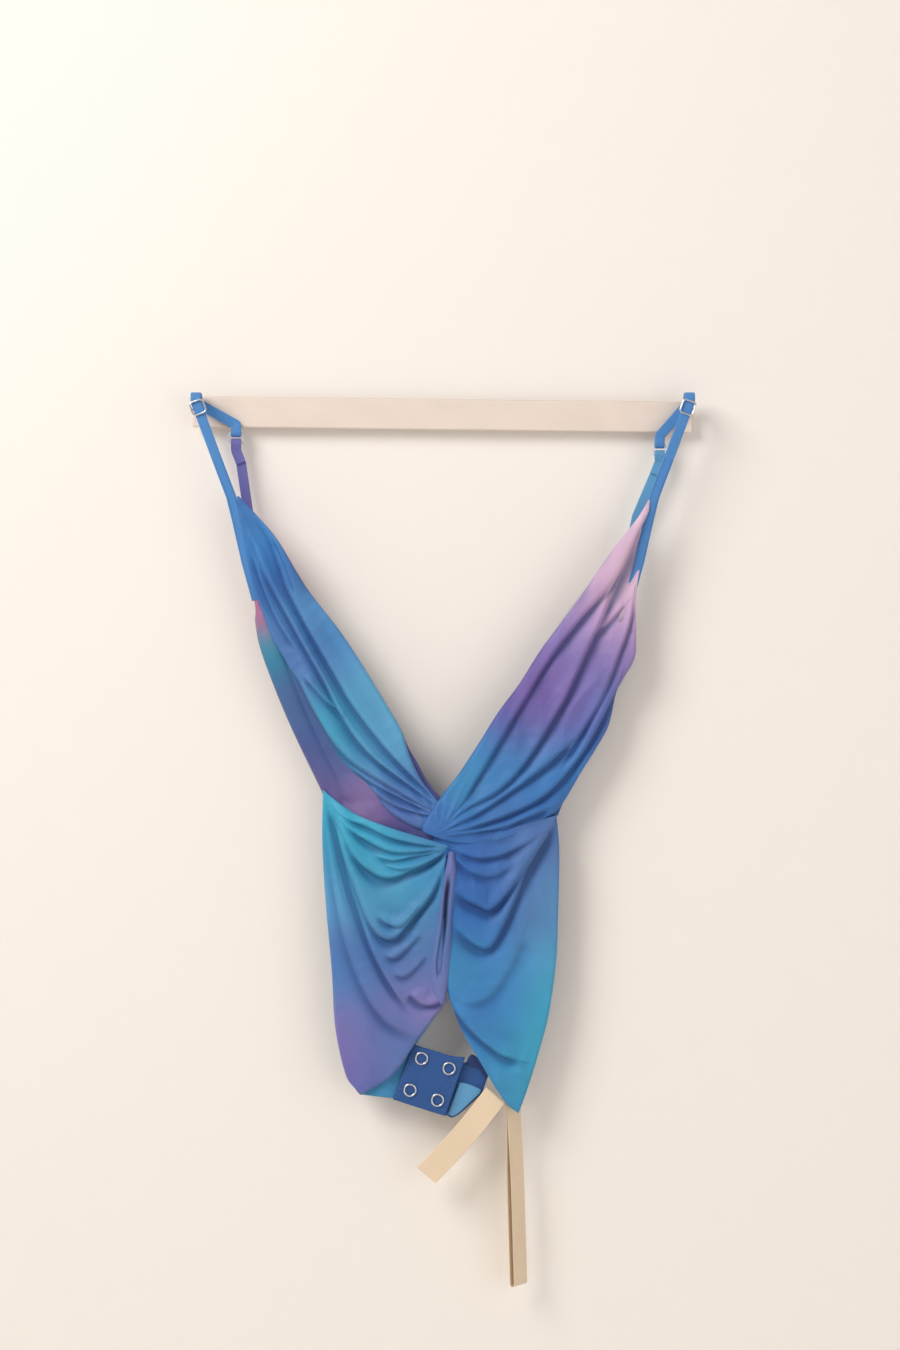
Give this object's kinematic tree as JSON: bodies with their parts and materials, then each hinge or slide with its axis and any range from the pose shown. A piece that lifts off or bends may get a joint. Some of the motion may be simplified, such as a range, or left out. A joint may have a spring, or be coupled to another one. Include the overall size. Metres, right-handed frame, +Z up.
{
  "type": "twist-front strappy bodysuit",
  "caption": "Sleeveless twist-front bodysuit with thin adjustable straps, a snap-fastened crotch and ribbon hanger loops, shaped as it hangs by its straps.",
  "frame": {"origin": "midway between the middles of the two strap bights, at the height where they rest on the arm that holds them", "axes": "+Z up along the hanging garment, +X to the wearer's left, the front faces -Y"},
  "size_m": [0.354, 0.0437, 0.6241],
  "materials": {
    "drape_cool": "satin",
    "drape_blue": "satin",
    "drape_violet": "satin",
    "base": "satin",
    "gusset_blue": "matt",
    "binding": "matt",
    "mesh": "matt",
    "strap_blue": "satin",
    "strap_violet": "satin",
    "nude": "satin",
    "elastic": "matt",
    "silver": "polished",
    "clear": "clear"
  },
  "bodies": {
    "garment": {"cup_drape_right": "drape_cool", "cup_drape_left": "drape_violet", "cup_base_right": "base", "cup_base_left": "base", "neck_elastic_right": "elastic", "neck_elastic_left": "elastic", "twist_knot": "drape_blue", "front_panel_right": "drape_cool", "front_panel_left": "drape_blue", "front_lining_right": "base", "front_lining_left": "base", "leg_elastic_right": "elastic", "leg_elastic_left": "elastic", "back_panel_right": "drape_blue", "back_panel_left": "drape_blue", "back_mesh_right": "mesh", "back_mesh_left": "mesh", "strap_front_right": "strap_blue", "strap_front_left": "strap_blue", "strap_back_right": "strap_violet", "strap_back_left": "strap_blue", "back_band": "nude", "gusset_back": "gusset_blue", "gusset_lining": "base", "leg_binding": "binding", "snap_stud_1": "silver", "snap_post_1": "silver", "snap_stud_2": "silver", "snap_post_2": "silver", "snap_stud_3": "silver", "snap_post_3": "silver", "snap_stud_4": "silver", "snap_post_4": "silver"},
    "front_tab": {"gusset_front": "gusset_blue", "snap_cap_1": "silver", "snap_socket_1": "silver", "snap_cap_2": "silver", "snap_socket_2": "silver", "snap_cap_3": "silver", "snap_socket_3": "silver", "snap_cap_4": "silver", "snap_socket_4": "silver"},
    "slider_right": {"slider_right": "silver"},
    "slider_left": {"slider_left": "silver"},
    "ring_right": {"ring_right": "clear"},
    "ring_left": {"ring_left": "clear"},
    "short_loop": {"hanger_loop_short": "nude"},
    "long_loop": {"hanger_loop_long": "nude"}
  },
  "joints": [
    {"name": "front_tab_hinge", "type": "hinge", "parent": "garment", "child": "front_tab", "pos_m": [-0.02734, -0.00525, -0.46893], "axis": [-0.342, 0, -0.9397], "range_deg": [0, 95]},
    {"name": "slider_right_slide", "type": "slide", "parent": "garment", "child": "slider_right", "axis": [0.3477, 0, -0.9376], "range_m": [0, 0.05]},
    {"name": "slider_left_slide", "type": "slide", "parent": "garment", "child": "slider_left", "axis": [-0.3477, 0, -0.9376], "range_m": [0, 0.05]},
    {"name": "ring_right_tip", "type": "hinge", "parent": "garment", "child": "ring_right", "pos_m": [-0.145, 0.00885, -0.0245], "axis": [1, 0, 0], "range_deg": [-6, 6]},
    {"name": "ring_left_tip", "type": "hinge", "parent": "garment", "child": "ring_left", "pos_m": [0.152, 0.00885, -0.0325], "axis": [1, 0, 0], "range_deg": [-6, 6]},
    {"name": "short_loop_swing", "type": "hinge", "parent": "garment", "child": "short_loop", "pos_m": [0.038, -0.00504, -0.485], "axis": [0, 1, 0], "range_deg": [-12, 8], "stiffness_Nm_per_rad": 0.001, "springref_deg": 5.5},
    {"name": "long_loop_swing", "type": "hinge", "parent": "garment", "child": "long_loop", "pos_m": [0.047, -0.00324, -0.486], "axis": [0, 1, 0], "range_deg": [-25, 4]}
  ]
}
